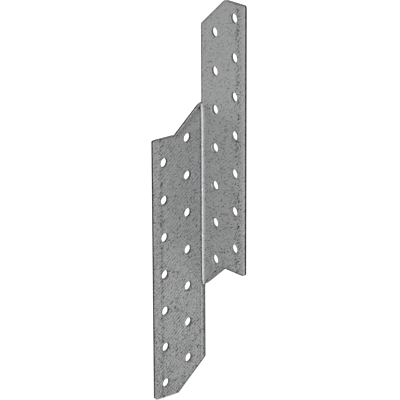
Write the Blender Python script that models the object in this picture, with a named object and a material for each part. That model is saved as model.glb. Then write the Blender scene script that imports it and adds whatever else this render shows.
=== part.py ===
"""Rafter connector: one piece of galvanised sheet, cut and punched flat, then folded once to a right angle.

The blank is drawn flat in the XZ plane. X runs across it from the middle of the fold and Z is up. The
sheet fills Y from -THICKNESS, the face that the nails go in through, to 0, the face on the timber. Its
upper half at +X becomes the rafter leg. Half a turn about Y gives the purlin leg, so one half is drawn.
"""

import math

import bmesh
import bpy
import numpy as np
from mathutils import Matrix, Vector

# Sheet and fold
THICKNESS = 0.002
BEND_RADIUS = 0.002
FOLD_ANGLE = math.radians(90)
NEUTRAL_SHARE = 0.44  # share of the thickness, from inside the fold, at which the sheet keeps its length
FADE_BELOW = 0.0010  # the fold starts to run out this far short of the notch corner
FADE_ABOVE = 0.0015  # and the free edge is flat again this far past it

# Outline
OVERALL_HEIGHT = 0.210
LEG_HEIGHT = 0.140
LEG_WIDTH = 0.0335  # outside corner to outer edge
SQUARE_END = 0.0146  # the part of each end that is cut square
END_SLOPE = math.radians(40.5)
FREE_EDGE = 0.00095  # outside corner to the inner edge of a leg, past the fold
CORNER_RADIUS = 0.0010

# Nail holes, in two staggered columns on each leg
HOLE_DIAMETER = 0.005
HOLE_PITCH = 0.020
HOLE_STAGGER = 0.010
COLUMN_SPACING = 0.015
EDGE_TO_COLUMN = 0.00725
END_TO_HOLE = 0.0075

# Edges left by the press tool: rolled over at the nail side, smooth, then broken out at the timber side
ROLLOVER = 0.0002
BURNISH_DEPTH = 0.0009
BREAKOUT = 0.00015

# Smoothness of the facets
FOLD_STEPS = 10
FADE_STEPS = 5
HOLE_SIDES = 24
CORNER_STEPS = 4
ROLLOVER_STEPS = 2

SETBACK = (BEND_RADIUS + THICKNESS) * math.tan(FOLD_ANGLE / 2)
FOLD_LENGTH = FOLD_ANGLE * (BEND_RADIUS + NEUTRAL_SHARE * THICKNESS)
NEUTRAL_Y = (NEUTRAL_SHARE - 1) * THICKNESS
TOP = OVERALL_HEIGHT / 2
LEG_BOTTOM = TOP - LEG_HEIGHT


def across(from_corner):
    """X on the flat blank of a line that ends up this far from the folded outside corner."""
    return from_corner - SETBACK + FOLD_LENGTH / 2


OUTER_EDGE = across(LEG_WIDTH)
SLOPE_START = across(LEG_WIDTH - SQUARE_END)
INNER_EDGE = across(FREE_EDGE)
SLOPE = math.tan(END_SLOPE)
NOTCH_TOP = -LEG_BOTTOM + SLOPE * (SLOPE_START + INNER_EDGE)

HALF_TURN_FLAT = Matrix.Rotation(math.pi, 4, "Y")
BISECTOR = Vector((1 - math.cos(FOLD_ANGLE), -math.sin(FOLD_ANGLE), 0))
HALF_TURN_FOLDED = Matrix.Rotation(math.pi, 4, BISECTOR)


def both_legs(points):
    """The points of the rafter leg, then the same ones turned onto the purlin leg."""
    return points + [HALF_TURN_FLAT @ point for point in points]


def blank():
    """The cut sheet: outline extruded to its thickness, outer corners rounded, nail side rolled over."""
    leg = [
        Vector((-INNER_EDGE, 0, -NOTCH_TOP)),
        Vector((SLOPE_START, 0, LEG_BOTTOM)),
        Vector((OUTER_EDGE, 0, LEG_BOTTOM)),
        Vector((OUTER_EDGE, 0, TOP)),
        Vector((SLOPE_START, 0, TOP)),
        Vector((INNER_EDGE, 0, TOP - SLOPE * (SLOPE_START - INNER_EDGE))),
    ]
    shape = bmesh.new()
    face = shape.faces.new([shape.verts.new(point) for point in both_legs(leg)])
    face.normal_update()
    if face.normal.y < 0:
        face.normal_flip()
    nail_side = bmesh.ops.extrude_face_region(shape, geom=[face], use_keep_orig=True)
    bmesh.ops.translate(
        shape,
        verts=[item for item in nail_side["geom"] if isinstance(item, bmesh.types.BMVert)],
        vec=(0, -THICKNESS, 0),
    )
    bmesh.ops.recalc_face_normals(shape, faces=shape.faces)
    upright = [edge for edge in shape.edges if abs((edge.verts[0].co - edge.verts[1].co).y) > THICKNESS / 2]
    bmesh.ops.bevel(
        shape,
        geom=[edge for edge in upright if edge.calc_face_angle_signed() > 0],
        offset=CORNER_RADIUS,
        segments=CORNER_STEPS,
        profile=0.5,
        affect="EDGES",
    )
    rim = [edge for edge in shape.edges if all(vert.co.y < -THICKNESS / 2 for vert in edge.verts)]
    bmesh.ops.bevel(
        shape,
        geom=[edge for edge in rim if edge.calc_face_angle() > math.radians(60)],
        offset=ROLLOVER,
        segments=ROLLOVER_STEPS,
        profile=0.5,
        affect="EDGES",
    )
    mesh = bpy.data.meshes.new("connector_plate")
    shape.to_mesh(mesh)
    shape.free()
    return mesh


def hole_places():
    """Centres of the nail holes on the flat blank."""
    count = int(LEG_HEIGHT / HOLE_PITCH + 0.001)
    outer_column = OUTER_EDGE - EDGE_TO_COLUMN
    places = []
    for row in range(count):
        height = TOP - END_TO_HOLE - row * HOLE_PITCH
        places.append(Vector((outer_column, 0, height)))
        places.append(Vector((outer_column - COLUMN_SPACING, 0, height - HOLE_STAGGER)))
    return both_legs(places)


def punch():
    """All the punched slugs as one cutter: each is a turned profile down Y, wider at both faces."""
    radius = HOLE_DIAMETER / 2
    lead = THICKNESS / 2
    profile = [(radius + ROLLOVER, -THICKNESS - lead)]
    for step in range(ROLLOVER_STEPS + 1):
        turn = math.pi / 2 * step / ROLLOVER_STEPS
        profile.append((radius + ROLLOVER * (1 - math.sin(turn)), -THICKNESS + ROLLOVER * (1 - math.cos(turn))))
    profile.append((radius, -THICKNESS + BURNISH_DEPTH))
    profile.append((radius + BREAKOUT, 0))
    profile.append((radius + BREAKOUT, lead))
    shape = bmesh.new()
    for place in hole_places():
        rings = []
        for ring_radius, depth in profile:
            ring = bmesh.ops.create_circle(shape, segments=HOLE_SIDES, radius=ring_radius, cap_ends=False)
            spot = Matrix.Translation(place + Vector((0, depth, 0))) @ Matrix.Rotation(math.pi / 2, 4, "X")
            bmesh.ops.transform(shape, verts=ring["verts"], matrix=spot)
            rings.append(ring["verts"])
        for near, far in zip(rings, rings[1:]):
            for side in range(HOLE_SIDES):
                after = (side + 1) % HOLE_SIDES
                shape.faces.new([near[side], near[after], far[after], far[side]])
        shape.faces.new(rings[0])
        shape.faces.new(rings[-1])
    bmesh.ops.recalc_face_normals(shape, faces=shape.faces)
    mesh = bpy.data.meshes.new("nail_hole_punch")
    shape.to_mesh(mesh)
    shape.free()
    return mesh


def punched(sheet_mesh):
    """The blank with every nail hole cut through it."""
    sheet = bpy.data.objects.new("flat_blank", sheet_mesh)
    cutter = bpy.data.objects.new("nail_hole_punch", punch())
    for item in (sheet, cutter):
        bpy.context.collection.objects.link(item)
    cut = sheet.modifiers.new("nail holes", "BOOLEAN")
    cut.object = cutter
    cut.operation = "DIFFERENCE"
    cut.solver = "EXACT"
    graph = bpy.context.evaluated_depsgraph_get()
    mesh = bpy.data.meshes.new_from_object(sheet.evaluated_get(graph))
    bpy.data.objects.remove(sheet)
    bpy.data.objects.remove(cutter)
    return mesh


def score(shape):
    """Cuts the fold strip of the punched blank into the steps that it bends and fades out in."""
    for step in range(FOLD_STEPS + 1):
        line = FOLD_LENGTH * (step / FOLD_STEPS - 0.5)
        everything = shape.verts[:] + shape.edges[:] + shape.faces[:]
        bmesh.ops.bisect_plane(shape, geom=everything, plane_co=(line, 0, 0), plane_no=(1, 0, 0), dist=1e-7)
    for step in range(FADE_STEPS + 1):
        height = NOTCH_TOP - FADE_BELOW + (FADE_BELOW + FADE_ABOVE) * step / FADE_STEPS
        for level in (height, -height):
            strip = [face for face in shape.faces if abs(face.calc_center_median().x) < FOLD_LENGTH / 2]
            edges = {edge for face in strip for edge in face.edges}
            verts = {vert for face in strip for vert in face.verts}
            geom = list(verts) + list(edges) + strip
            bmesh.ops.bisect_plane(shape, geom=geom, plane_co=(0, 0, level), plane_no=(0, 0, 1), dist=1e-7)


def fold_share(height):
    """How far the sheet is folded at this height: all the way, fading to flat past the notch corner."""
    faded = (height - NOTCH_TOP + FADE_BELOW) / (FADE_BELOW + FADE_ABOVE)
    return 0.5 + 0.5 * math.cos(math.pi * min(max(faded, 0), 1))


def folded(flat):
    """Where a point of the blank lies once the sheet is folded, with the outside corner on the Z axis.

    The rafter leg stays in its plane. The fold runs round an arc on which the neutral fibre keeps its
    length: an arc of length a that turns by t ends a sin(t/2) / (t/2) away, in the direction t/2. The
    lower half is worked out as the upper one, with half a turn before and after.
    """
    if flat.z < 0:
        return HALF_TURN_FOLDED @ folded(HALF_TURN_FLAT @ flat)
    along = FOLD_LENGTH / 2 - flat.x
    arc = min(max(along, 0), FOLD_LENGTH)
    turn = fold_share(flat.z) * FOLD_ANGLE * arc / FOLD_LENGTH
    chord = arc * float(np.sinc(turn / 2 / math.pi))
    beyond = along - arc
    heading = Vector((-math.cos(turn), -math.sin(turn), 0))
    outward = Vector((-math.sin(turn), math.cos(turn), 0))
    start = Vector((SETBACK, NEUTRAL_Y, flat.z))
    middle = Vector((-math.cos(turn / 2), -math.sin(turn / 2), 0))
    return start + chord * middle + beyond * heading + (flat.y - NEUTRAL_Y) * outward


def galvanised_steel():
    """Hot-dip zinc coat: mid grey, metallic and dull."""
    material = bpy.data.materials.new("galvanised_steel")
    material.use_nodes = True
    shader = material.node_tree.nodes["Principled BSDF"]
    shader.inputs["Base Color"].default_value = (0.34, 0.34, 0.34, 1)
    shader.inputs["Metallic"].default_value = 1.0
    shader.inputs["Roughness"].default_value = 0.5
    return material


def connector_plate():
    """The finished connector, with its origin on the timber face of the purlin leg, at that leg's middle."""
    shape = bmesh.new()
    shape.from_mesh(punched(blank()))
    score(shape)
    for vert in shape.verts:
        vert.co = folded(vert.co)
    between_columns = LEG_WIDTH - EDGE_TO_COLUMN - COLUMN_SPACING / 2
    purlin_leg = HALF_TURN_FOLDED @ Vector((between_columns, 0, TOP - LEG_HEIGHT / 2))
    bmesh.ops.translate(shape, verts=shape.verts, vec=-purlin_leg)
    mesh = bpy.data.meshes.new("connector_plate")
    shape.to_mesh(mesh)
    shape.free()
    mesh.shade_smooth()
    mesh.set_sharp_from_angle(angle=math.radians(30))
    mesh.materials.append(galvanised_steel())
    plate = bpy.data.objects.new("connector_plate", mesh)
    bpy.context.collection.objects.link(plate)
    return plate


for old in list(bpy.data.objects):
    bpy.data.objects.remove(old)
connector_plate()
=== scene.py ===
"""Rafter connector: a folded sheet of galvanised steel, with sheared edges, punched holes and a zinc skin."""

import math

import bpy
import numpy as np
from mathutils import Matrix, Vector


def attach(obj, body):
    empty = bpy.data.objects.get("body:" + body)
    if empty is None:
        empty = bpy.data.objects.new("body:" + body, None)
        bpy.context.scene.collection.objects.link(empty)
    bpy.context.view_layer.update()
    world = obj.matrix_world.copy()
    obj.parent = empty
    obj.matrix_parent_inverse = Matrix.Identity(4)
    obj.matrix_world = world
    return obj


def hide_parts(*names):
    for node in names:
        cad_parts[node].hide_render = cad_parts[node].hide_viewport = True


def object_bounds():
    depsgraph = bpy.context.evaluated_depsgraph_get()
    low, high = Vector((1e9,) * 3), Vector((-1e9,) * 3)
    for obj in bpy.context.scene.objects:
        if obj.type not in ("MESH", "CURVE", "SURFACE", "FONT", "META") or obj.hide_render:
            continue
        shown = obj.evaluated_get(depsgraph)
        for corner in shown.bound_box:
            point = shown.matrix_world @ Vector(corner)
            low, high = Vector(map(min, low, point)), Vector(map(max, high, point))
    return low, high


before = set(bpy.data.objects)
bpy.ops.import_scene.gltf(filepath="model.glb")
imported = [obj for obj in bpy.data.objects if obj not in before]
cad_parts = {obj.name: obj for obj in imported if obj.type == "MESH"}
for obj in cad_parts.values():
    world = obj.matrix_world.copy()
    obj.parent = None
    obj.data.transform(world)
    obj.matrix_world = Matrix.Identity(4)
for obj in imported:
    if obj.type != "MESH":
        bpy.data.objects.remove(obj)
cad_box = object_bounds()


# Camera. It looks a little down on the nail side, from over a metre away through a long lens, so the
# legs keep almost parallel sides. Its place was fitted to the outline and to the rows of holes.

LENS = 205.72  # mm, on a sensor 36 mm wide
CAMERA_PLACE = (0.846731, -0.679593, 0.425367)
CAMERA_RIGHT = (0.63644056, 0.77131016, -0.00490411)
CAMERA_UP = (-0.2577748, 0.21868472, 0.94113184)
CAMERA_BACK = (0.72697701, -0.59771032, 0.33800415)

camera_lens = bpy.data.cameras.new("camera")
camera_lens.lens = LENS
camera = bpy.data.objects.new("camera", camera_lens)
camera_turn = Matrix((CAMERA_RIGHT, CAMERA_UP, CAMERA_BACK)).transposed().to_4x4()
camera.matrix_world = Matrix.Translation(CAMERA_PLACE) @ camera_turn
bpy.context.scene.collection.objects.link(camera)
bpy.context.scene.camera = camera


# Connector plate. One blank of 2 mm hot-dip galvanised steel, sheared to its outline, punched from the
# nail side and folded once to a right angle. It is laid out flat here, u across from the middle of the
# fold and z up, so the rafter leg is on the positive side and half a turn gives the purlin leg.

THICKNESS = 0.002
BEND_RADIUS = 0.002
FOLD_ANGLE = math.radians(90)
NEUTRAL_SHARE = 0.44  # share of the thickness, from inside the fold, at which the sheet keeps its length
OVERALL_HEIGHT = 0.210
LEG_HEIGHT = 0.140
LEG_WIDTH = 0.0335  # outside corner to outer edge
SQUARE_END = 0.0146  # the part of each end that is cut square
END_SLOPE = math.radians(40.5)
FREE_EDGE = 0.00095  # outside corner to the inner edge of a leg, past the fold
CORNER_RADIUS = 0.0010

FOLD_LENGTH = FOLD_ANGLE * (BEND_RADIUS + NEUTRAL_SHARE * THICKNESS)
SETBACK = (BEND_RADIUS + THICKNESS) * math.tan(FOLD_ANGLE / 2)
OUTER_EDGE = LEG_WIDTH - SETBACK + FOLD_LENGTH / 2
SLOPE_START = OUTER_EDGE - SQUARE_END
INNER_EDGE = FREE_EDGE - SETBACK + FOLD_LENGTH / 2
TOP = OVERALL_HEIGHT / 2


def end_height(u):
    """Height of the rafter leg's upper end: level as far in as SLOPE_START, then straight down the slope."""
    return TOP - math.tan(END_SLOPE) * np.maximum(SLOPE_START - u, 0)


NOTCH_TOP = LEG_HEIGHT - end_height(-INNER_EDGE)
NOTCH_DOWN = end_height(INNER_EDGE) - NOTCH_TOP  # the length of the free inner edge

# Two columns of nail holes in each leg, in step with the leg's two ends
HOLE_DIAMETER = 0.005
HOLE_PITCH = 0.020
HOLE_STAGGER = 0.010
COLUMN_SPACING = 0.015
EDGE_TO_COLUMN = 0.00725
END_TO_HOLE = 0.0075

OUTER_COLUMN = OUTER_EDGE - EDGE_TO_COLUMN
INNER_COLUMN = OUTER_COLUMN - COLUMN_SPACING
rows = np.arange(round(LEG_HEIGHT / HOLE_PITCH)) * HOLE_PITCH
outer_down = END_TO_HOLE + rows
inner_down = rows + end_height(INNER_COLUMN) - (TOP - END_TO_HOLE - HOLE_STAGGER)

# The slitting rolls left a line along each outer edge. The nail face falls away outside it, and the zinc is
# scuffed to each side of it, over one width on the rafter leg and another on the purlin leg.
SLIT_LINE = 0.00415
SLIT_DROP = 0.00020
GROOVE_WIDTH = 0.0008
GROOVE_DEPTH = 0.00003
SCUFF_WIDTHS = (0.0026, 0.0015)

# Spacing of the mesh: coarse over the faces, finer at the holes and the notch, finest along each cut
FACE_STEP = 0.0012
HOLE_STEP = 0.00066
FOLD_STEP = 0.00026
NOTCH_STEP = 0.0004
CUT_LEVELS = np.array([0, 0.04, 0.12, 0.24, 0.40, 0.62]) / 1000
GROOVE_LEVELS = GROOVE_WIDTH * np.array([-1, -0.4, 0.4, 1])
HOLE_REACH = 0.0033  # half the width of the square that a hole's rings fill
SLANT_REACH = 0.0045  # and half its height in the inner column, where it slants with the leg's end
NOTCH_REACH = 0.0040
HOLE_COLUMNS = ((OUTER_COLUMN, outer_down, HOLE_REACH), (INNER_COLUMN, inner_down, SLANT_REACH))
TOUCH = 1e-7  # metres; two levels of the mesh that are closer than this are the same level
STEP_SLACK = 1e-6  # of a step, so that a run of exactly so many steps doesn't get one more


def levels(start, stop, marks, step):
    """Every mark from start to stop, with even steps no longer than step(middle) between each two."""
    marks = np.unique(np.round(np.concatenate(marks + [[start, stop]]), 9))  # to the nanometre
    marks = marks[(marks >= start - TOUCH) & (marks <= stop + TOUCH)]
    runs = []
    for low, high in zip(marks, marks[1:]):
        pieces = math.ceil((high - low) / step((low + high) / 2) - STEP_SLACK)
        runs.append(np.linspace(low, high, pieces, endpoint=False))
    return np.append(np.concatenate(runs), marks[-1])


def down_step(down):
    """Step of the mesh down the leg: fine at the notch and the foot, and beside each hole."""
    if min(abs(down - NOTCH_DOWN), LEG_HEIGHT - down) < NOTCH_REACH:
        return NOTCH_STEP
    near_outer = np.abs(outer_down - down).min() < HOLE_REACH
    near_inner = np.abs(inner_down - down).min() < SLANT_REACH
    return HOLE_STEP if near_outer or near_inner else FACE_STEP


def across_step(u):
    """Step of the mesh across the leg: fine beside each column of holes."""
    beside = min(abs(u - INNER_COLUMN), abs(u - OUTER_COLUMN)) < HOLE_REACH
    return HOLE_STEP if beside else FACE_STEP


down_marks = [
    CUT_LEVELS,
    LEG_HEIGHT - CUT_LEVELS,
    outer_down - HOLE_REACH,
    outer_down + HOLE_REACH,
    inner_down - SLANT_REACH,
    inner_down + SLANT_REACH,
    [NOTCH_DOWN - NOTCH_REACH, NOTCH_DOWN, NOTCH_DOWN + NOTCH_REACH],
]
across_marks = [
    OUTER_EDGE - CUT_LEVELS,
    [INNER_COLUMN - HOLE_REACH, INNER_COLUMN + HOLE_REACH, SLOPE_START],
    [OUTER_COLUMN - HOLE_REACH, OUTER_COLUMN + HOLE_REACH],
    OUTER_EDGE - SLIT_LINE + GROOVE_LEVELS,
    [OUTER_EDGE - SLIT_LINE - SCUFF_WIDTHS[1], OUTER_EDGE - SLIT_LINE + SCUFF_WIDTHS[1]],
]
down_levels = levels(0, LEG_HEIGHT, down_marks, down_step)
across_levels = levels(FOLD_LENGTH / 2, OUTER_EDGE, across_marks, across_step)
fold_marks = [INNER_EDGE + CUT_LEVELS, -INNER_EDGE - CUT_LEVELS]
fold_levels = levels(-FOLD_LENGTH / 2, FOLD_LENGTH / 2, fold_marks, lambda u: FOLD_STEP)
free_levels = fold_levels[fold_levels >= INNER_EDGE - TOUCH]


def laid_out(u, down):
    """A point of the flat sheet from its two measures: u across, and how far down it is from the end."""
    return np.stack([u, end_height(u) - down], axis=-1)


def net(grid):
    """Points of a grid as one list, and its faces as four neighbours each."""
    count = np.arange(grid.shape[0] * grid.shape[1]).reshape(grid.shape[:2])
    corners = [count[:-1, :-1], count[1:, :-1], count[1:, 1:], count[:-1, 1:]]
    return grid.reshape(-1, 2), np.stack(corners, axis=-1).reshape(-1, 4)


MERGED = 1e-7  # metres; points are merged where their places, rounded to this, are the same
MERGE_SHIFT = 0.123  # of such a step, so that no place is halfway between two, where it may go either way


def joined(nets):
    """Several nets as one, with the points that coincide merged and those that no face uses left out."""
    starts = np.cumsum([0] + [len(points) for points, _ in nets[:-1]])
    points = np.concatenate([points for points, _ in nets])
    faces = np.concatenate([faces + start for start, (_, faces) in zip(starts, nets)])
    steps = np.round(points / MERGED + MERGE_SHIFT)
    kept, index = np.unique(steps, axis=0, return_index=True, return_inverse=True)[1:]
    used, faces = np.unique(index.reshape(-1)[faces], return_inverse=True)
    return points[kept][used], faces.reshape(-1, 4)


def around(block):
    """The border of a grid, walked round once and back to its first point."""
    return np.concatenate([block[0, :-1], block[:-1, -1], block[-1, :0:-1], block[::-1, 0]])


def hole_rings(border, centre):
    """Rings from the rim of a hole to the border of its square, on straight lines away from the centre.

    The first rings keep the finest spacing away from the rim, and the last ones share what is left.
    """
    away = border - centre
    reach = np.linalg.norm(away, axis=1)
    heading = away / reach[:, None]
    left = reach - HOLE_DIAMETER / 2 - CUT_LEVELS[-1]
    near = HOLE_DIAMETER / 2 + np.repeat(CUT_LEVELS[:, None], len(reach), axis=1)
    far = near[-1] + left * np.array([[0.5], [1.0]])
    return centre + np.concatenate([near, far])[:, :, None] * heading


def leg_nets():
    """The rafter leg from the fold outwards, and its free strip above the notch."""
    u, down = np.meshgrid(across_levels, down_levels, indexing="ij")
    leg = laid_out(u, down)
    points, faces = net(leg)
    middle_u = (u[1:, 1:] + u[:-1, :-1]).reshape(-1) / 2
    middle_down = (down[1:, 1:] + down[:-1, :-1]).reshape(-1) / 2
    whole = np.ones(len(faces), bool)
    nets = []
    for column, holes_down, reach in HOLE_COLUMNS:
        for hole_down in holes_down:
            whole &= (abs(middle_u - column) > HOLE_REACH) | (abs(middle_down - hole_down) > reach)
            across = abs(across_levels - column) < HOLE_REACH + TOUCH
            along = abs(down_levels - hole_down) < reach + TOUCH
            border = around(leg[across][:, along])
            nets.append(net(hole_rings(border, laid_out(np.array(column), hole_down))))
    nets.append((points, faces[whole]))
    beside_notch = down_levels[down_levels <= NOTCH_DOWN + TOUCH]
    nets.append(net(laid_out(*np.meshgrid(free_levels, beside_notch, indexing="ij"))))
    return nets


# The rounded corners of the rafter leg, each with the direction out of the sheet at its two edges
UP = np.array([0.0, 1.0])
OUT = np.array([1.0, 0.0])
UPHILL = np.array([-math.sin(END_SLOPE), math.cos(END_SLOPE)])
CORNERS = (
    ((OUTER_EDGE, TOP), OUT, UP),
    ((OUTER_EDGE, TOP - LEG_HEIGHT), OUT, -UP),
    ((SLOPE_START, TOP), UP, UPHILL),
    ((INNER_EDGE, end_height(INNER_EDGE)), UPHILL, -OUT),
)
TINY = 1e-12  # what counts as nothing, and what a length is at least before anything is divided by it


def in_corner(points, corner, first, second):
    """The centre of a rounded corner, how points lie from it, and which lie between its two directions.

    The centre is one radius in from both edges: along the sum of the two directions, divided by one plus
    the cosine between them.
    """
    centre = np.array(corner) - CORNER_RADIUS * (first + second) / (1 + first @ second)
    away = points - centre
    shares = away @ np.linalg.inv(np.stack([first, second]))
    return centre, away, (shares > TINY).all(axis=1)


def rounded(points):
    """Each sharp corner of a leg drawn in: points beyond the arc's centre shrink towards it by the ratio of
    the arc's radius to the distance of the sharp outline in the same direction."""
    for corner, first, second in CORNERS:
        centre, away, inside = in_corner(points, corner, first, second)
        length = np.maximum(np.linalg.norm(away, axis=1), TINY)
        ratio = np.maximum(away @ first, away @ second) / length
        points = np.where(inside[:, None], centre + away * ratio[:, None], points)
    return points


# The flat sheet is the rafter leg, the same turned half round, and the strip of the fold between their seams
leg_points, leg_faces = joined(leg_nets())
leg_points = rounded(leg_points)
seam = down_levels[down_levels >= NOTCH_DOWN - TOUCH]
right_seam = laid_out(np.full(len(seam), FOLD_LENGTH / 2), seam)
left_seam = -right_seam[::-1]
share = ((fold_levels + FOLD_LENGTH / 2) / FOLD_LENGTH)[:, None, None]
fold_net = net(left_seam * (1 - share) + right_seam * share)
flat, faces = joined([(leg_points, leg_faces), (-leg_points, leg_faces), fold_net])
# A face whose two diagonals turn the wrong way round has its corners put in the other order
a, b, c, d = (flat[faces[:, corner]] for corner in range(4))
turned = np.cross(c - a, d - b) < 0
faces[turned] = faces[turned][:, ::-1]

# The edges of the rafter leg, from its lower slope round to the free inner edge: start, end and outward
# direction, then how much paler the zinc is painted along each, darker with a minus, and over what width in
# mm, on the rafter leg and on the purlin leg. The dark rims are painted shade along the cuts.
OUTLINE = (
    ((-INNER_EDGE, -NOTCH_TOP), (SLOPE_START, TOP - LEG_HEIGHT), -UPHILL, (-0.40, 0.4), (-0.10, 0.9)),
    ((SLOPE_START, TOP - LEG_HEIGHT), (OUTER_EDGE, TOP - LEG_HEIGHT), -UP, (-0.34, 1.1), (-0.25, 0.5)),
    ((OUTER_EDGE, TOP - LEG_HEIGHT), (OUTER_EDGE, TOP), OUT, (0.04, 0.9), (-0.04, 0.9)),
    ((OUTER_EDGE, TOP), (SLOPE_START, TOP), UP, (-0.30, 0.4), (0.08, 0.9)),
    ((SLOPE_START, TOP), (INNER_EDGE, end_height(INNER_EDGE)), UPHILL, (-0.22, 0.9), (-0.38, 0.9)),
    ((INNER_EDGE, end_height(INNER_EDGE)), (INNER_EDGE, NOTCH_TOP), -OUT, (-0.34, 1.5), (-0.41, 1.7)),
)
HOLE_RIMS = ((-0.20, 0.5), (-0.12, 0.5))  # the same two of the holes in each leg, a dark ring of painted shade
UPPER_HOLES = 0.008  # from this far below the notch corner up, the holes of the rafter leg have plain rims
UPPER_RIM_SHADE = 0.0
FAR = 1.0  # metres, beyond any cut
TIE = 1e-9  # an edge has to be nearer by this to take a point over from another


def nearest_cut(points):
    """Distance of each point to the nearest cut edge, the direction out of the sheet there, whether it is a
    hole, and the shade and width of its rim.

    The straight edges are tried as segments, the rounded corners as arcs and the holes as circles, each on
    the rafter leg and, by half a turn, on the purlin leg.
    """
    distance = np.full(len(points), FAR)
    outward = np.zeros_like(points)
    is_hole = np.zeros(len(points), bool)
    rims = np.tile([0.0, 1.0], (len(points), 1))

    def keep_nearer(new_distance, new_outward, new_rim=None, where=True, hole=False):
        nearer = where & (new_distance < distance - TIE)
        distance[nearer] = new_distance[nearer]
        outward[nearer] = np.broadcast_to(new_outward, points.shape)[nearer]
        is_hole[nearer] = hole
        if new_rim is not None:
            rims[nearer] = new_rim

    for leg, side in enumerate((1, -1)):
        turned_points = points * side
        for start, stop, normal, *edge_rims in OUTLINE:
            run = np.subtract(stop, start)
            from_start = turned_points - start
            along = np.clip(from_start @ run / (run @ run), 0, 1)[:, None]
            keep_nearer(np.linalg.norm(from_start - along * run, axis=1), normal * side, edge_rims[leg])
        for column, holes_down, _ in HOLE_COLUMNS:
            for hole_down in holes_down:
                away = laid_out(np.array(column), hole_down) - turned_points
                length = np.linalg.norm(away, axis=1)
                inward = away * side / length[:, None]
                keep_nearer(length - HOLE_DIAMETER / 2, inward, HOLE_RIMS[leg], hole=True)
        for corner, first, second in CORNERS:
            away, inside = in_corner(turned_points, corner, first, second)[1:]
            length = np.maximum(np.linalg.norm(away, axis=1), TINY)
            distance[inside & ~is_hole] = FAR
            keep_nearer(CORNER_RADIUS - length, away * side / length[:, None], where=inside)
    return np.maximum(distance, 0), outward, is_hole, rims[:, 0], rims[:, 1] / 1000


to_cut, outward, is_hole, rim_shade, rim_width = nearest_cut(flat)

# How far the cut outline stands out from its nominal size, by up to 0.6 mm, and how the holes differ from
# theirs. The amounts across and up or down count by the squares of the outward direction's two parts.
END_ALLOWANCE = 0.00033  # up and down, on all ends
RAFTER_ALLOWANCE = 0.00042  # across, on the outer edge of the rafter leg
PURLIN_ALLOWANCE = 0.00045  # and at the foot of the purlin leg's, running out to nothing at PURLIN_TRUE
PURLIN_TRUE = 0.030
RAFTER_INNER_ALLOWANCE = 0.0001  # across, on the slopes and the free inner edge above the middle, z = 0,
PURLIN_INNER_ALLOWANCE = 0.00062  # and on those below it
UPPER_SLOPE_EXTRA = 0.000165  # on the rafter leg's two slopes, on top of that
LOWER_SLOPE_EXTRA = -0.000325
ALLOWANCE_FADE = 0.0020  # only points nearer to a cut than this move
INNER_CORNER_FADE = 0.0030
HOLE_TIGHTER = 0.00005  # the holes of the purlin leg are smaller by this all round,
HOLE_FURTHER = 0.00015  # lie further from the fold by this,
HOLE_ASKEW = 0.0004  # and by this as well on the timber side
HOLE_NEARER = 0.0004  # the holes near the top of the rafter leg lie nearer to the fold by up to this

u, z = flat.T
purlin_outer = PURLIN_ALLOWANCE * np.clip((PURLIN_TRUE - z) / (PURLIN_TRUE + TOP), 0, 1)
inner = np.where(z > 0, RAFTER_INNER_ALLOWANCE, PURLIN_INNER_ALLOWANCE)
across_allowance = np.where(abs(u) < SLOPE_START, inner, np.where(u > 0, RAFTER_ALLOWANCE, purlin_outer))
on_slope = (abs(u) < SLOPE_START) * (2 * outward[:, 0] * outward[:, 1]) ** 2  # nothing on a straight edge
allowance = across_allowance * outward[:, 0] ** 2 + END_ALLOWANCE * outward[:, 1] ** 2
allowance += on_slope * np.where(u > 0, np.where(z > 0, UPPER_SLOPE_EXTRA, LOWER_SLOPE_EXTRA), 0)
allowance *= ~is_hole
moved = allowance[:, None] * outward
purlin_hole = (is_hole & (u < 0))[:, None]
moved += purlin_hole * (HOLE_TIGHTER * outward - (HOLE_FURTHER, 0))
nearer = HOLE_NEARER * np.clip((z - NOTCH_TOP) / (TOP - NOTCH_TOP), 0, 1) * (is_hole & (u > 0))
moved -= np.column_stack([nearer, np.zeros(len(u))])
INNER_ENDS = (NOTCH_TOP, end_height(INNER_EDGE))
for side, across, extras in (
    (1, RAFTER_INNER_ALLOWANCE, (0, UPPER_SLOPE_EXTRA)),
    (-1, PURLIN_INNER_ALLOWANCE, (LOWER_SLOPE_EXTRA, 0)),
):
    # the corner at each end of a free inner edge moves with both its edges, and the points near it follow
    normals = np.array([-OUT, UPHILL]) * side
    for height, extra in zip(INNER_ENDS, extras):
        amounts = normals ** 2 @ (across, END_ALLOWANCE) + (0, extra)
        from_corner = np.linalg.norm(flat - side * np.array([INNER_EDGE, height]), axis=1)
        near = np.clip(1 - from_corner / INNER_CORNER_FADE, 0, 1)[:, None]
        moved = moved * (1 - near) + np.linalg.solve(normals, amounts) * near
flat = flat + moved * np.clip(1 - to_cut / ALLOWANCE_FADE, 0, 1)[:, None]

# The shear and the punch leave four bands on a cut edge, from the nail side: an edge rolled over, a
# smooth burnished band, a rough fracture that leans back under it, and a sharp rim.
ROLL_WIDTH = 0.0006
ROLL_DEPTH = 0.00022
BURNISH_DEPTH = 0.00085  # from the nail face to the end of the burnished band
BREAKOUT = 0.00006  # how far the fracture leans back
SLIT_BURNISH_DEPTH = 0.00050  # the same two at the outer edge of the purlin leg
SLIT_BREAKOUT = 0.00015
SLIT_REACH = 0.002  # points this near to that edge belong to it
LEAST_BURNISH = 0.00006  # the burnished band is at least this wide
FRACTURE_WAVE = 0.00008
FRACTURE_ROUGH = 0.00004
TIMBER_PULL = 0.0007  # the timber face is drawn back from a cut over this width


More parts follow.
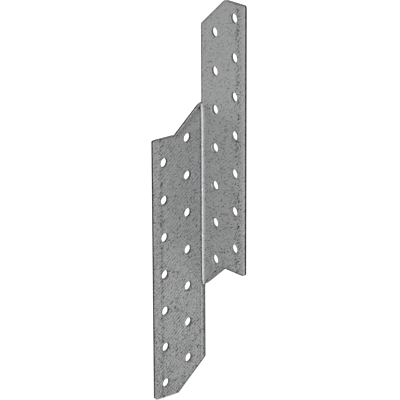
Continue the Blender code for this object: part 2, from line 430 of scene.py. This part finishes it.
def waves(points, count, shortest, longest, seed):
    """Even, repeatable unevenness of about -1 to 1: so many sine waves of random direction and length, added
    up and divided by the root of their number."""
    random = np.random.default_rng(seed)
    angle = random.uniform(0, 2 * math.pi, count)
    number = 2 * math.pi / random.uniform(shortest, longest, count)
    phase = random.uniform(0, 2 * math.pi, count)
    total = points @ (np.stack([np.cos(angle), np.sin(angle)]) * number)
    return np.sin(total + phase).sum(axis=1) / math.sqrt(count)


rolled = ROLL_DEPTH * (1 - np.sqrt(1 - np.clip(1 - to_cut / ROLL_WIDTH, 0, 1) ** 2))
from_slit = OUTER_EDGE - abs(flat[:, 0])
fallen = SLIT_DROP * np.clip(1 - from_slit / SLIT_LINE, 0, 1)
groove = np.clip(1 - abs(from_slit - SLIT_LINE) / GROOVE_WIDTH, 0, 1)
nail_depth = rolled + fallen + GROOVE_DEPTH * groove - THICKNESS
nail_face = np.column_stack([flat[:, 0], nail_depth, flat[:, 1]])
at_purlin_slit = flat[:, 0] < SLIT_REACH - OUTER_EDGE
breakout = np.where(at_purlin_slit, SLIT_BREAKOUT, BREAKOUT)[:, None] * outward
breakout += purlin_hole * (HOLE_ASKEW, 0)
drawn_back = breakout * np.clip(1 - to_cut / TIMBER_PULL, 0, 1)[:, None]
timber_flat = flat - drawn_back
timber_face = np.column_stack([timber_flat[:, 0], np.zeros(len(flat)), timber_flat[:, 1]])

# The cuts run along the sides that only one face of the flat sheet has
edges = np.stack([faces, np.roll(faces, -1, axis=1)], axis=-1).reshape(-1, 2)
edge_name, edge_uses = np.unique(np.sort(edges, axis=1), axis=0, return_inverse=True, return_counts=True)[1:]
rim_edges = edges[edge_uses[edge_name.reshape(-1)] == 1]
rim, rim_edges = np.unique(rim_edges, return_inverse=True)
rim_edges = rim_edges.reshape(-1, 2)

# The rings of the cut wall: the share of the burnished band, then the share of the fracture and its lean
BURNISH_RINGS = (0.14, 0.40, 0.94)
FRACTURE_RINGS = ((0.10, 0.25), (0.40, 0.5), (0.70, 0.8))
rim_flat = flat[rim]
burnish_depth = np.where(at_purlin_slit[rim], SLIT_BURNISH_DEPTH, BURNISH_DEPTH)
burnish_wave = waves(rim_flat, count=7, shortest=0.0007, longest=0.004, seed=3)
burnish_end = -THICKNESS + burnish_depth + FRACTURE_WAVE * burnish_wave
burnish_end = np.maximum(burnish_end, nail_depth[rim] + LEAST_BURNISH)
wall = []
for share in BURNISH_RINGS:
    wall.append((nail_depth[rim] * (1 - share) + burnish_end * share, 0.0))
for seed, (share, lean) in enumerate(FRACTURE_RINGS, start=11):
    # mostly inwards, so the torn metal doesn't stand out past the burnished band
    rough = FRACTURE_ROUGH * (waves(rim_flat, count=9, shortest=0.0004, longest=0.0016, seed=seed) - 1)
    wall.append((burnish_end * (1 - share), rough[:, None] * outward[rim] - breakout[rim] * lean))
wall_flat = [np.column_stack([rim_flat + offset, depth]) for depth, offset in wall]
wall_points = np.concatenate(wall_flat)[:, [0, 2, 1]]

point_count = len(flat)
rings = [rim]
rings += [2 * point_count + len(rim) * step + np.arange(len(rim)) for step in range(len(wall))]
rings += [point_count + rim]
wall_faces = []
for near, far in zip(rings, rings[1:]):
    sides = [near[rim_edges[:, 1]], near[rim_edges[:, 0]], far[rim_edges[:, 0]], far[rim_edges[:, 1]]]
    wall_faces.append(np.stack(sides, axis=-1))
blank = np.concatenate([nail_face, timber_face, wall_points])
blank_faces = np.concatenate([faces, faces[:, ::-1] + point_count] + wall_faces)

# The fold runs out over a short length past each notch corner
FADE_BELOW = 0.0010
FADE_ABOVE = 0.0015
NEUTRAL_DEPTH = (NEUTRAL_SHARE - 1) * THICKNESS


def folded(points):
    """Where points (u, depth, z) of the blank lie once it is folded, with the outside corner on the Z axis.

    The rafter leg stays in its plane. The fold runs round an arc on which the neutral fibre keeps its
    length: an arc of length a that turns by t ends a sin(t/2) / (t/2) away, in the direction t/2. The turn
    fades out round the notch corner by half a cosine wave. The lower half is worked out as the upper one,
    half a turn round.
    """
    lower = points[:, 2:] < 0
    upper = np.where(lower, points * (-1, 1, -1), points)
    faded = np.clip((upper[:, 2] - NOTCH_TOP + FADE_BELOW) / (FADE_BELOW + FADE_ABOVE), 0, 1)
    along = FOLD_LENGTH / 2 - upper[:, 0]
    arc = np.clip(along, 0, FOLD_LENGTH)
    turn = (0.5 + 0.5 * np.cos(math.pi * faded)) * FOLD_ANGLE * arc / FOLD_LENGTH
    chord = arc * np.sinc(turn / 2 / math.pi)
    beyond = along - arc
    off_neutral = upper[:, 1] - NEUTRAL_DEPTH
    x = SETBACK - chord * np.cos(turn / 2) - beyond * np.cos(turn) - off_neutral * np.sin(turn)
    y = NEUTRAL_DEPTH - chord * np.sin(turn / 2) - beyond * np.sin(turn) + off_neutral * np.cos(turn)
    bent = np.column_stack([x, y, upper[:, 2]])
    return np.where(lower, -bent[:, [1, 0, 2]], bent)


# The part's origin is on the timber face of the purlin leg, midway between its columns and its ends
TO_ORIGIN = (0, LEG_WIDTH - EDGE_TO_COLUMN - COLUMN_SPACING / 2, TOP - LEG_HEIGHT / 2)
SHARP_ANGLE = math.radians(35)  # the faces on either side of a sharper edge are shaded apart

plate_mesh = bpy.data.meshes.new("galvanised_plate")
plate_mesh.from_pydata(folded(blank) + TO_ORIGIN, [], blank_faces)
plate_mesh.shade_smooth()
plate_mesh.set_sharp_from_angle(angle=SHARP_ANGLE)
plate = bpy.data.objects.new("galvanised_plate", plate_mesh)
bpy.context.scene.collection.objects.link(plate)

# How the zinc is painted paler or darker, point by point, and how metallic it is made: tool marks, and along
# the fold a painted highlight and painted shade. A place is a distance from the middle of the fold, and a
# negative one is on the purlin side.
HIGHLIGHT_LINE = 0.00033  # half the width of the painted highlight down the fold: a bright line, on a band made more metallic too
HIGHLIGHT_SHORT = (0.0006, 0.0)  # it ends this far short of the notch corner, at the top and at the foot,
HIGHLIGHT_FADE = (0.0020, 0.0010)  # and fades out over this much before that
HIGHLIGHT_DRIFT = 0.00056  # the line leans this far aside at each end of the fold,
HIGHLIGHT_DRIFT_LENGTH = 0.003  # and comes back over about this length
HIGHLIGHT_SHIFT = 0.00014  # and is this far further to the purlin side at its foot than at its top
HIGHLIGHT_SHADE = 0.3708
HIGHLIGHT_FOOT_SHADE = 0.27  # what is added to that near its foot
HIGHLIGHT_METAL = 0.9
SHOULDER_WIDTH = 0.0028  # a paler band, the painted highlight's shoulder, fades out this far on its rafter side
SHOULDER_SHADE = 0.11
SHOULDER_METAL = 0.1
FOLD_SHADE_PLACE = -0.0014  # painted shade, a dark line on the fold's flank, lies this far from the highlight line, at the top of the fold
FOLD_SHADE_SHIFT = 0.0004  # how much nearer it is at the foot
FOLD_SHADE_WIDTH = 0.0009
FOLD_SHADE_PAST = 0.0006  # it runs on past the notch corner by this, and fades out before that over the next length
FOLD_SHADE_FADE = 0.0012
FOLD_SHADE_DARKNESS = -0.22
FOLD_SHADE_FOOT_SHARE = 0.4  # how much darker it is at the foot, as a share
WITNESS_PLACE = -0.0013  # below the notch, a pale line where the fold would have gone on
WITNESS_WIDTH = 0.0006
WITNESS_SHADE = 0.12
SCORE_PLACE = -0.0021  # and a darker one beside it
SCORE_WIDTH = 0.0005
SCORE_SHADE = -0.10
SLOPE_LINE = 0.00125  # on the slopes beside the notch, a soft dark line lies this far in
SLOPE_LINE_WIDTH = 0.0009
SLOPE_LINE_SHADE = -0.07
SAME_WAY = 0.99  # the cosine between two directions that count as the same
SCUFF_SHIFTS = (0.0, 0.0005)  # the scuffing lies this far inside the slit line, on the rafter and purlin leg
EVEN_LINE_WIDTH = 0.0012  # on the purlin leg the zinc is also evenly darker there,
EVEN_LINE_SHADE = -0.080
EVEN_LINE_SHARE = 0.4  # but only by this share above the middle, z = 0; below it the share grows to one,
EVEN_LINE_FADE = 0.020  # at a rate of one over this length

u, z = flat.T
down_fold = np.clip(0.5 - z / NOTCH_TOP / 2, 0, 1)
short = np.where(z > 0, *HIGHLIGHT_SHORT)
inside_fold = np.clip((NOTCH_TOP - abs(z) - short) / np.where(z > 0, *HIGHLIGHT_FADE), 0, 1)
drift = HIGHLIGHT_DRIFT * np.sign(z) * np.exp(-np.clip(NOTCH_TOP - abs(z), 0, None) / HIGHLIGHT_DRIFT_LENGTH)
from_highlight = u + drift + HIGHLIGHT_SHIFT * down_fold
# the painted highlight along the fold, and its paler shoulder
fold_highlight = np.exp(-(from_highlight / HIGHLIGHT_LINE) ** 2) * inside_fold
highlight_shoulder = np.where(from_highlight > 0, np.clip(1 - from_highlight / SHOULDER_WIDTH, 0, 1), 0) * inside_fold
# the painted shade on the fold's flank beside the highlight
from_fold_shade = abs(from_highlight - FOLD_SHADE_PLACE - FOLD_SHADE_SHIFT * down_fold)
fold_shade = (1 + FOLD_SHADE_FOOT_SHARE * down_fold) * np.clip(1 - from_fold_shade / FOLD_SHADE_WIDTH, 0, 1)
fold_shade *= np.clip((NOTCH_TOP + FOLD_SHADE_PAST - abs(z)) / FOLD_SHADE_FADE, 0, 1)
witness = np.clip(1 - abs(u - WITNESS_PLACE) / WITNESS_WIDTH, 0, 1) * (z < -NOTCH_TOP)
score = np.clip(1 - abs(u - SCORE_PLACE) / SCORE_WIDTH, 0, 1) * (z < -NOTCH_TOP)
beside_slope = (abs(outward @ UPHILL) > SAME_WAY) & (u * z < 0)
slope_line = np.clip(1 - abs(to_cut - SLOPE_LINE) / SLOPE_LINE_WIDTH, 0, 1) * beside_slope
from_scuff = abs(from_slit - SLIT_LINE - np.where(u > 0, *SCUFF_SHIFTS))
even_line = np.clip(1 - from_scuff / EVEN_LINE_WIDTH, 0, 1) * (u < 0)
even_line *= np.clip(EVEN_LINE_SHARE - z / EVEN_LINE_FADE, EVEN_LINE_SHARE, 1)
near_rim = np.clip(1 - to_cut / rim_width, 0, 1)

rim_shade = np.where(is_hole & (u > 0) & (z > NOTCH_TOP - UPPER_HOLES), UPPER_RIM_SHADE, rim_shade)
nail_shade = rim_shade * near_rim + FOLD_SHADE_DARKNESS * fold_shade + EVEN_LINE_SHADE * even_line
nail_shade += WITNESS_SHADE * witness + SCORE_SHADE * score + SLOPE_LINE_SHADE * slope_line
nail_shade += (HIGHLIGHT_SHADE + HIGHLIGHT_FOOT_SHADE * down_fold ** 3) * fold_highlight + SHOULDER_SHADE * highlight_shoulder
nail_metal = HIGHLIGHT_METAL * fold_highlight + SHOULDER_METAL * highlight_shoulder

# A painted glint, pale and more metallic, lies at the mouth of the rafter leg's holes, all but the upper
# ones, and round to the nail face on the side of the fold. The other shades are those of the cut bands and
# the timber side's rims: of the burnished band, of the fracture below it, and of the timber face on a cut and
# near one.
ON_CUT = 1e-6  # metres; a point this near to a cut is on it
GLINT_SHADE = 0.9
GLINT_METAL = 0.9
GLINT_RIM = 0.5  # both its shade and its metal at the nail face
UNDER_GLINT_SHADE = -0.04
OUTER_GLINT_SHARE = 0.25  # it is fainter in the outer column
BURNISH_SHADE = 0.10
# the burnished band is painted darker the more its cut faces up: painted shade
SLOPE_BURNISH_SHADE = 0.05  # on cuts whose outward direction goes up by more than SLOPES_UP
LEVEL_BURNISH_SHADE = -0.18  # and by more than FACES_UP
SLOPES_UP = 0.5
FACES_UP = 0.9
UPPER_BURNISH_SHADE = 0.07
FRACTURE_SHADE = -0.30
HOLE_FRACTURE_SHADE = (-0.05, -0.27)  # in the holes of the rafter and purlin leg; the purlin leg's are darker by painted shade
UPPER_FRACTURE_SHADE = -0.20
TIMBER_RIM_SHADE = -0.22
TIMBER_HOLE_SHADE = -0.10
TIMBER_NEAR_SHADE = -0.06

on_cut = to_cut < ON_CUT
glint_share = np.where(u > (INNER_COLUMN + OUTER_COLUMN) / 2, OUTER_GLINT_SHARE, 1.0)
# the painted glint at the nail-face rim of the lower holes in the rafter leg
glint_rim = on_cut & is_hole & (u > 0) & (z < NOTCH_TOP - UPPER_HOLES) & (outward[:, 0] > 0)
nail_shade = np.where(glint_rim, GLINT_RIM * glint_share, nail_shade)
nail_metal = np.where(glint_rim, GLINT_RIM * glint_share, nail_metal)
timber_rim_shade = np.where(is_hole, TIMBER_HOLE_SHADE, TIMBER_RIM_SHADE)
timber_shade = np.where(on_cut, timber_rim_shade, TIMBER_NEAR_SHADE * near_rim)
rim_hole = is_hole[rim]
rafter_side = u[rim] > 0
# and the painted glint on the burnished band of those holes
hole_glint = rim_hole & rafter_side & (z[rim] < NOTCH_TOP - UPPER_HOLES)
upward = outward[rim, 1]
edge_burnish = np.where(upward > SLOPES_UP, SLOPE_BURNISH_SHADE, BURNISH_SHADE)
edge_burnish = np.where(upward > FACES_UP, LEVEL_BURNISH_SHADE, edge_burnish)
hole_burnish = np.where(rafter_side, UPPER_BURNISH_SHADE, 0.0)
hole_burnish = np.where(hole_glint, GLINT_SHADE * glint_share[rim], hole_burnish)
burnish_shade = np.where(rim_hole, hole_burnish, edge_burnish)
fracture_shade = np.where(rim_hole, np.where(rafter_side, *HOLE_FRACTURE_SHADE), FRACTURE_SHADE)
fracture_shade[rim_hole & rafter_side & ~hole_glint] = UPPER_FRACTURE_SHADE
shade = np.concatenate([
    nail_shade,
    timber_shade,
    burnish_shade,
    np.tile(np.where(hole_glint, UNDER_GLINT_SHADE, burnish_shade), len(BURNISH_RINGS) - 1),
    np.tile(fracture_shade, len(FRACTURE_RINGS)),
])
metal = np.concatenate([
    nail_metal,
    (on_cut & ~is_hole).astype(float),
    np.where(hole_glint, GLINT_METAL * glint_share[rim], 0.0),
    np.zeros(len(rim) * (len(BURNISH_RINGS) - 1)),
    np.tile((~rim_hole).astype(float), len(FRACTURE_RINGS)),
])
torn = np.concatenate([
    np.zeros(point_count),
    on_cut.astype(float),
    np.zeros(len(rim) * len(BURNISH_RINGS)),
    np.ones(len(rim) * len(FRACTURE_RINGS)),
])
scuffed = np.clip(1 - from_scuff / np.where(u > 0, *SCUFF_WIDTHS), 0, 1)
slit_line = np.concatenate([scuffed, np.zeros(point_count + len(rim) * len(wall))])
for name, values in (("shade", shade), ("metal", metal), ("torn", torn), ("slit_line", slit_line)):
    plate_mesh.attributes.new(name, "FLOAT", "POINT").data.foreach_set("value", values)
flat_place = plate_mesh.attributes.new("flat_place", "FLOAT_VECTOR", "POINT")
flat_place.data.foreach_set("vector", blank[:, [0, 2, 1]].ravel())


def srgb(text):
    """An sRGB hex colour as linear light, by the curve of the sRGB standard."""
    value = np.array([int(text[place:place + 2], 16) for place in (1, 3, 5)]) / 255
    return (*np.where(value <= 0.04045, value / 12.92, ((value + 0.055) / 1.055) ** 2.4), 1.0)


def add(tree, kind, links=None, **settings):
    """Adds a node with its settings by name, and its inputs set or linked by the socket's name or number."""
    node = tree.nodes.new(kind)
    for name, value in settings.items():
        setattr(node, name, value)
    for socket, value in (links or {}).items():
        if isinstance(value, bpy.types.NodeSocket):
            tree.links.new(value, node.inputs[socket])
        else:
            node.inputs[socket].default_value = value
    return node


# Hot-dip galvanised zinc: a dull grey skin that froze out of the bath, so it reads as soft and matt, with
# hard light only where a tool has rubbed it. Fine hatching and pits lie along the way the sheet drained.
zinc = bpy.data.materials.new("hot_dip_galvanised_zinc")
zinc.use_nodes = True
tree = zinc.node_tree
tree.nodes.clear()
place = add(tree, "ShaderNodeAttribute", attribute_name="flat_place").outputs["Vector"]
point = {}
for name in ("shade", "metal", "torn", "slit_line"):
    point[name] = add(tree, "ShaderNodeAttribute", attribute_name=name).outputs["Fac"]
split = add(tree, "ShaderNodeSeparateXYZ", {"Vector": place})

# Each pattern: size of a grain across the drain in metres, how many times as long it is, how many finer
# octaves it has, and how strong each of them is as a share of the one before. The crystals of the real skin
# are about 0.1 mm and its pits about 0.3 mm. Grain, streaks and pits are drawn up to four times coarser than
# that, so that they show at this size. The clouds are about their real size.
DRAIN_ANGLE = math.radians(38)  # from level, on the flat sheet
PATTERNS = {
    "grain": (0.00034, 1.0, 1.0, 0.6),
    "cloud": (0.007, 1.0, 3.0, 0.55),
    "streak": (0.00034, 2.0, 0.0, 0.5),
    "pit": (0.00060, 2.4, 1.0, 0.5),
    "fine": (0.00045, 1.6, 1.0, 0.5),
}
pattern = {}
for name, (size, stretch, octaves, octave_share) in PATTERNS.items():
    along_drain = add(tree, "ShaderNodeMapping", {
        "Vector": place, "Rotation": (0, 0, DRAIN_ANGLE), "Scale": (stretch, 1, 1)}, vector_type="TEXTURE")
    pattern[name] = add(tree, "ShaderNodeTexNoise", {
        "Vector": along_drain.outputs[0],
        "Scale": 1 / size,
        "Detail": octaves,
        "Roughness": octave_share,
    }).outputs["Fac"]

# The hatching is a wave across the drain, at its real 1.65 mm from line to line, broken up every 1.2 mm
WAVE_UNIT = 2 * math.pi / 20  # length of one wave of the wave texture at scale 1
HATCH_SPACING = 0.00165
HATCH_BREAK = 0.0012
HATCH_STRETCH = 4.0  # along the drain the breaks are this many times as far apart
along_drain = add(tree, "ShaderNodeMapping", {
    "Vector": place, "Rotation": (0, 0, DRAIN_ANGLE), "Scale": (HATCH_STRETCH, 1, 1)}, vector_type="TEXTURE")
hatch = add(tree, "ShaderNodeTexWave", {
    "Vector": along_drain.outputs[0],
    "Scale": WAVE_UNIT / HATCH_SPACING,
    "Distortion": 3.0,
    "Detail": 2.0,
    "Detail Scale": HATCH_SPACING / WAVE_UNIT / HATCH_BREAK,
    "Detail Roughness": 0.6,
}, bands_direction="Y").outputs["Fac"]

# Patterns and flat place turned into shares: the value, its range, and what the range's two ends become.
# One leg's share turns into the other's within LEGS_MEET to either side of the middle of the fold.
LEGS_MEET = 0.001
RANGES = {
    "pits": (pattern["pit"], 0.60, 0.66, 0.0, 1.0),
    "fine_pits": (pattern["fine"], 0.55, 0.65, 0.0, 1.0),
    "rim_spots": (pattern["fine"], 0.35, 0.62, 0.72, 1.2),
    "line_spots": (pattern["pit"], 0.50, 0.62, 0.0, 3.0),
    "hatched": (split.outputs["X"], -LEGS_MEET, LEGS_MEET, 1.0, 0.35),  # the purlin leg more than the other
    "lined": (split.outputs["X"], -LEGS_MEET, LEGS_MEET, 0.28, 0.38),  # and its slit line a little less
    "drained": (split.outputs["Y"], -TOP, TOP, 1.45, 0.55),  # the whole skin is stronger towards the foot
}
part = {}
for name, (value, low, high, at_low, at_high) in RANGES.items():
    part[name] = add(tree, "ShaderNodeMapRange", {
        "Value": value, "From Min": low, "From Max": high, "To Min": at_low, "To Max": at_high}).outputs[0]

HATCH_SHARE = 0.22  # of the hatching beside the streaks
STREAK_MIDDLE = 0.5 + HATCH_SHARE / 2
drawn = add(tree, "ShaderNodeMath", {
    0: hatch, 1: HATCH_SHARE, 2: pattern["streak"]}, operation="MULTIPLY_ADD").outputs[0]
centred = add(tree, "ShaderNodeMath", {0: drawn, 1: STREAK_MIDDLE}, operation="SUBTRACT").outputs[0]
for name, first, second in (
    ("brushed", centred, "hatched"),
    ("spotted_line", point["slit_line"], "line_spots"),
    ("rims", point["shade"], "rim_spots"),
):
    part[name] = add(tree, "ShaderNodeMath", {0: first, 1: part[second]}, operation="MULTIPLY").outputs[0]
part["line"] = add(tree, "ShaderNodeMath", {
    0: part["spotted_line"], 1: part["lined"]}, operation="MULTIPLY").outputs[0]

# Handling marks on the nail face, and the last four, round the notch corners, are painted shade: where each
# is on the flat sheet, its angle, and half its length, in mm. Each fades out from its middle, and where two
# cross, the stronger one shows.
MARKS_AND_NOTCH_SHADE = (
    (-17.2, -52.7, 38, 1.7), (-17.3, -52.6, -42, 1.5), (-16.8, -38.0, 40, 1.5), (-16.9, -37.8, -45, 1.3),
    (-16.1, -65.2, 30, 1.5), (-21.2, -53.3, 25, 1.1), (-28.2, -61.0, 48, 2.4), (-13.8, -60.3, 32, 1.0),
    (-30.4, -29.1, 80, 0.7), (29.8, 24.5, 42, 2.6), (13.2, 19.9, 30, 0.6), (20.5, 61.0, 35, 1.0),
    (-2.6, 46.6, 60, 1.1), (2.4, 47.5, 0, 2.0), (5.2, 47.3, -12, 2.0), (2.6, -47.0, 42, 2.0),
)
MARK_WIDTH = 0.40  # half the width of each, in mm
marks = 0.0
for mark_u, mark_z, angle, half in MARKS_AND_NOTCH_SHADE:
    spot = add(tree, "ShaderNodeMapping", {
        "Vector": place,
        "Location": (mark_u / 1000, mark_z / 1000, -THICKNESS),
        "Rotation": (0, 0, math.radians(angle)),
        "Scale": (half / 1000, MARK_WIDTH / 1000, THICKNESS / 2),
    }, vector_type="TEXTURE")
    mark = add(tree, "ShaderNodeTexGradient", {"Vector": spot.outputs[0]}, gradient_type="SPHERICAL")
    marks = add(tree, "ShaderNodeMath", {0: mark.outputs["Fac"], 1: marks}, operation="MAXIMUM").outputs[0]

# The parts are added up, first into the skin, then with the tool marks, painted highlight and painted shade
# into the tone, from black to white
SKIN_START = -0.168  # so that the skin is about nothing on average
skin = SKIN_START
for value, weight in (
    (pattern["grain"], 0.38),
    (pattern["cloud"], 0.05),
    (part["brushed"], 0.34),
    (part["pits"], -0.21),
    (part["fine_pits"], -0.08),
):
    skin = add(tree, "ShaderNodeMath", {0: value, 1: weight, 2: skin}, operation="MULTIPLY_ADD").outputs[0]
ZINC_TONE = 0.258
tone = ZINC_TONE
for value, weight in (
    (skin, part["drained"]),
    (marks, -0.24),
    (part["line"], -0.22),
    (part["rims"], 1.0),
):
    tone = add(tree, "ShaderNodeMath", {0: value, 1: weight, 2: tone}, operation="MULTIPLY_ADD").outputs[0]
zinc_colour = add(tree, "ShaderNodeMix", {
    "Factor": tone, 6: srgb("#0C0C0D"), 7: srgb("#F6F7F8")}, data_type="RGBA")
metallic = add(tree, "ShaderNodeMapRange", {"Value": point["metal"], "To Min": 0.08, "To Max": 1.0})
roughness = add(tree, "ShaderNodeMapRange", {
    "Value": pattern["fine"], "From Min": 0.3, "From Max": 0.7, "To Min": 0.13, "To Max": 0.23})
TORN_ROUGHER = 0.6  # the fracture scatters light more than the skin, so it stays dull
rougher = add(tree, "ShaderNodeMath", {
    0: point["torn"], 1: TORN_ROUGHER, 2: roughness.outputs[0]}, operation="MULTIPLY_ADD")
bump = add(tree, "ShaderNodeBump", {"Height": tone, "Strength": 0.35, "Distance": 0.0003})
shader = add(tree, "ShaderNodeBsdfPrincipled", {
    "Base Color": zinc_colour.outputs[2],
    "Metallic": metallic.outputs[0],
    "Roughness": rougher.outputs[0],
    "Normal": bump.outputs[0],
})
add(tree, "ShaderNodeOutputMaterial", {"Surface": shader.outputs["BSDF"]})
plate_mesh.materials.append(zinc)
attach(plate, "root")
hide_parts("connector_plate")


# Floor. A plain pale studio floor under the part, wide enough to fill the camera's view.

FLOOR_SIZE = 6.0
FLOOR_GAP = 0.0005  # under the solid, because the scene's ends reach a little further down

floor_height = cad_box[0][2] - FLOOR_GAP
side = np.array([-FLOOR_SIZE, FLOOR_SIZE]) / 2
floor_x, floor_y = np.meshgrid(side, side, indexing="ij")
floor_points = np.stack([floor_x, floor_y, np.full_like(floor_x, floor_height)], axis=-1).reshape(-1, 3)
floor_mesh = bpy.data.meshes.new("floor")
floor_mesh.from_pydata(floor_points, [], [(0, 2, 3, 1)])
floor = bpy.data.objects.new("floor", floor_mesh)
bpy.context.scene.collection.objects.link(floor)

# Studio paper: matt, and white to the camera under any lamps, so the eye gets only the soft shadow on it
PAPER_SEEN = 0.65  # the white that is added for the camera, and in what the metal mirrors
PAPER_MIRRORED = 0.3
paper = bpy.data.materials.new("white_studio_floor")
paper.use_nodes = True
paper_tree = paper.node_tree
paper_tree.nodes.clear()
seen = add(paper_tree, "ShaderNodeLightPath")
mirrored = add(paper_tree, "ShaderNodeMath", {
    0: seen.outputs["Is Glossy Ray"], 1: PAPER_MIRRORED}, operation="MULTIPLY")
glow = add(paper_tree, "ShaderNodeMath", {
    0: seen.outputs["Is Camera Ray"], 1: PAPER_SEEN, 2: mirrored.outputs[0]}, operation="MULTIPLY_ADD")
paper_shader = add(paper_tree, "ShaderNodeBsdfPrincipled", {
    "Base Color": srgb("#F0F0F0"),
    "Roughness": 0.9,
    "Emission Color": (1, 1, 1, 1),
    "Emission Strength": glow.outputs[0],
})
add(paper_tree, "ShaderNodeOutputMaterial", {"Surface": paper_shader.outputs["BSDF"]})
floor_mesh.materials.append(paper)


# Light. Even white surroundings, a large soft lamp low in front of the fold, and a soft one overhead. The
# surroundings light the part softly, and are full white to the camera and in what the metal mirrors.

WORLD_LIGHT = 0.35

world = bpy.data.worlds.new("white_surroundings")
world.use_nodes = True
sky = world.node_tree
sky.nodes.clear()
seen = add(sky, "ShaderNodeLightPath")
seen_or_mirrored = add(sky, "ShaderNodeMath", {
    0: seen.outputs["Is Camera Ray"], 1: seen.outputs["Is Glossy Ray"]}, operation="MAXIMUM")
strength = add(sky, "ShaderNodeMapRange", {
    "Value": seen_or_mirrored.outputs[0], "To Min": WORLD_LIGHT, "To Max": 1.0})
background = add(sky, "ShaderNodeBackground", {"Color": (1, 1, 1, 1), "Strength": strength.outputs[0]})
add(sky, "ShaderNodeOutputWorld", {"Surface": background.outputs[0]})
bpy.context.scene.world = world

LAMP_DISTANCE = 2.0
LAMP_TARGET = (0, 0, 0.03)


def soft_lamp(name, azimuth, elevation, width, height, power):
    """A flat soft lamp at an azimuth and elevation in degrees, seen from its target, turned to face it."""
    data = bpy.data.lights.new(name, "AREA")
    data.shape = "RECTANGLE"
    data.size = width
    data.size_y = height
    data.energy = power
    lamp = bpy.data.objects.new(name, data)
    across = math.radians(azimuth)
    up = math.radians(elevation)
    back = Vector((math.cos(across) * math.cos(up), math.sin(across) * math.cos(up), math.sin(up)))
    lamp.location = Vector(LAMP_TARGET) + back * LAMP_DISTANCE
    lamp.rotation_euler = back.to_track_quat("Z", "Y").to_euler()
    lamp.visible_camera = False
    bpy.context.scene.collection.objects.link(lamp)


soft_lamp("key_lamp", azimuth=-46, elevation=7, width=1.2, height=0.5, power=33)
soft_lamp("top_lamp", azimuth=150, elevation=70, width=1.5, height=1.5, power=15)

scene = bpy.context.scene
scene.view_settings.view_transform = "Standard"
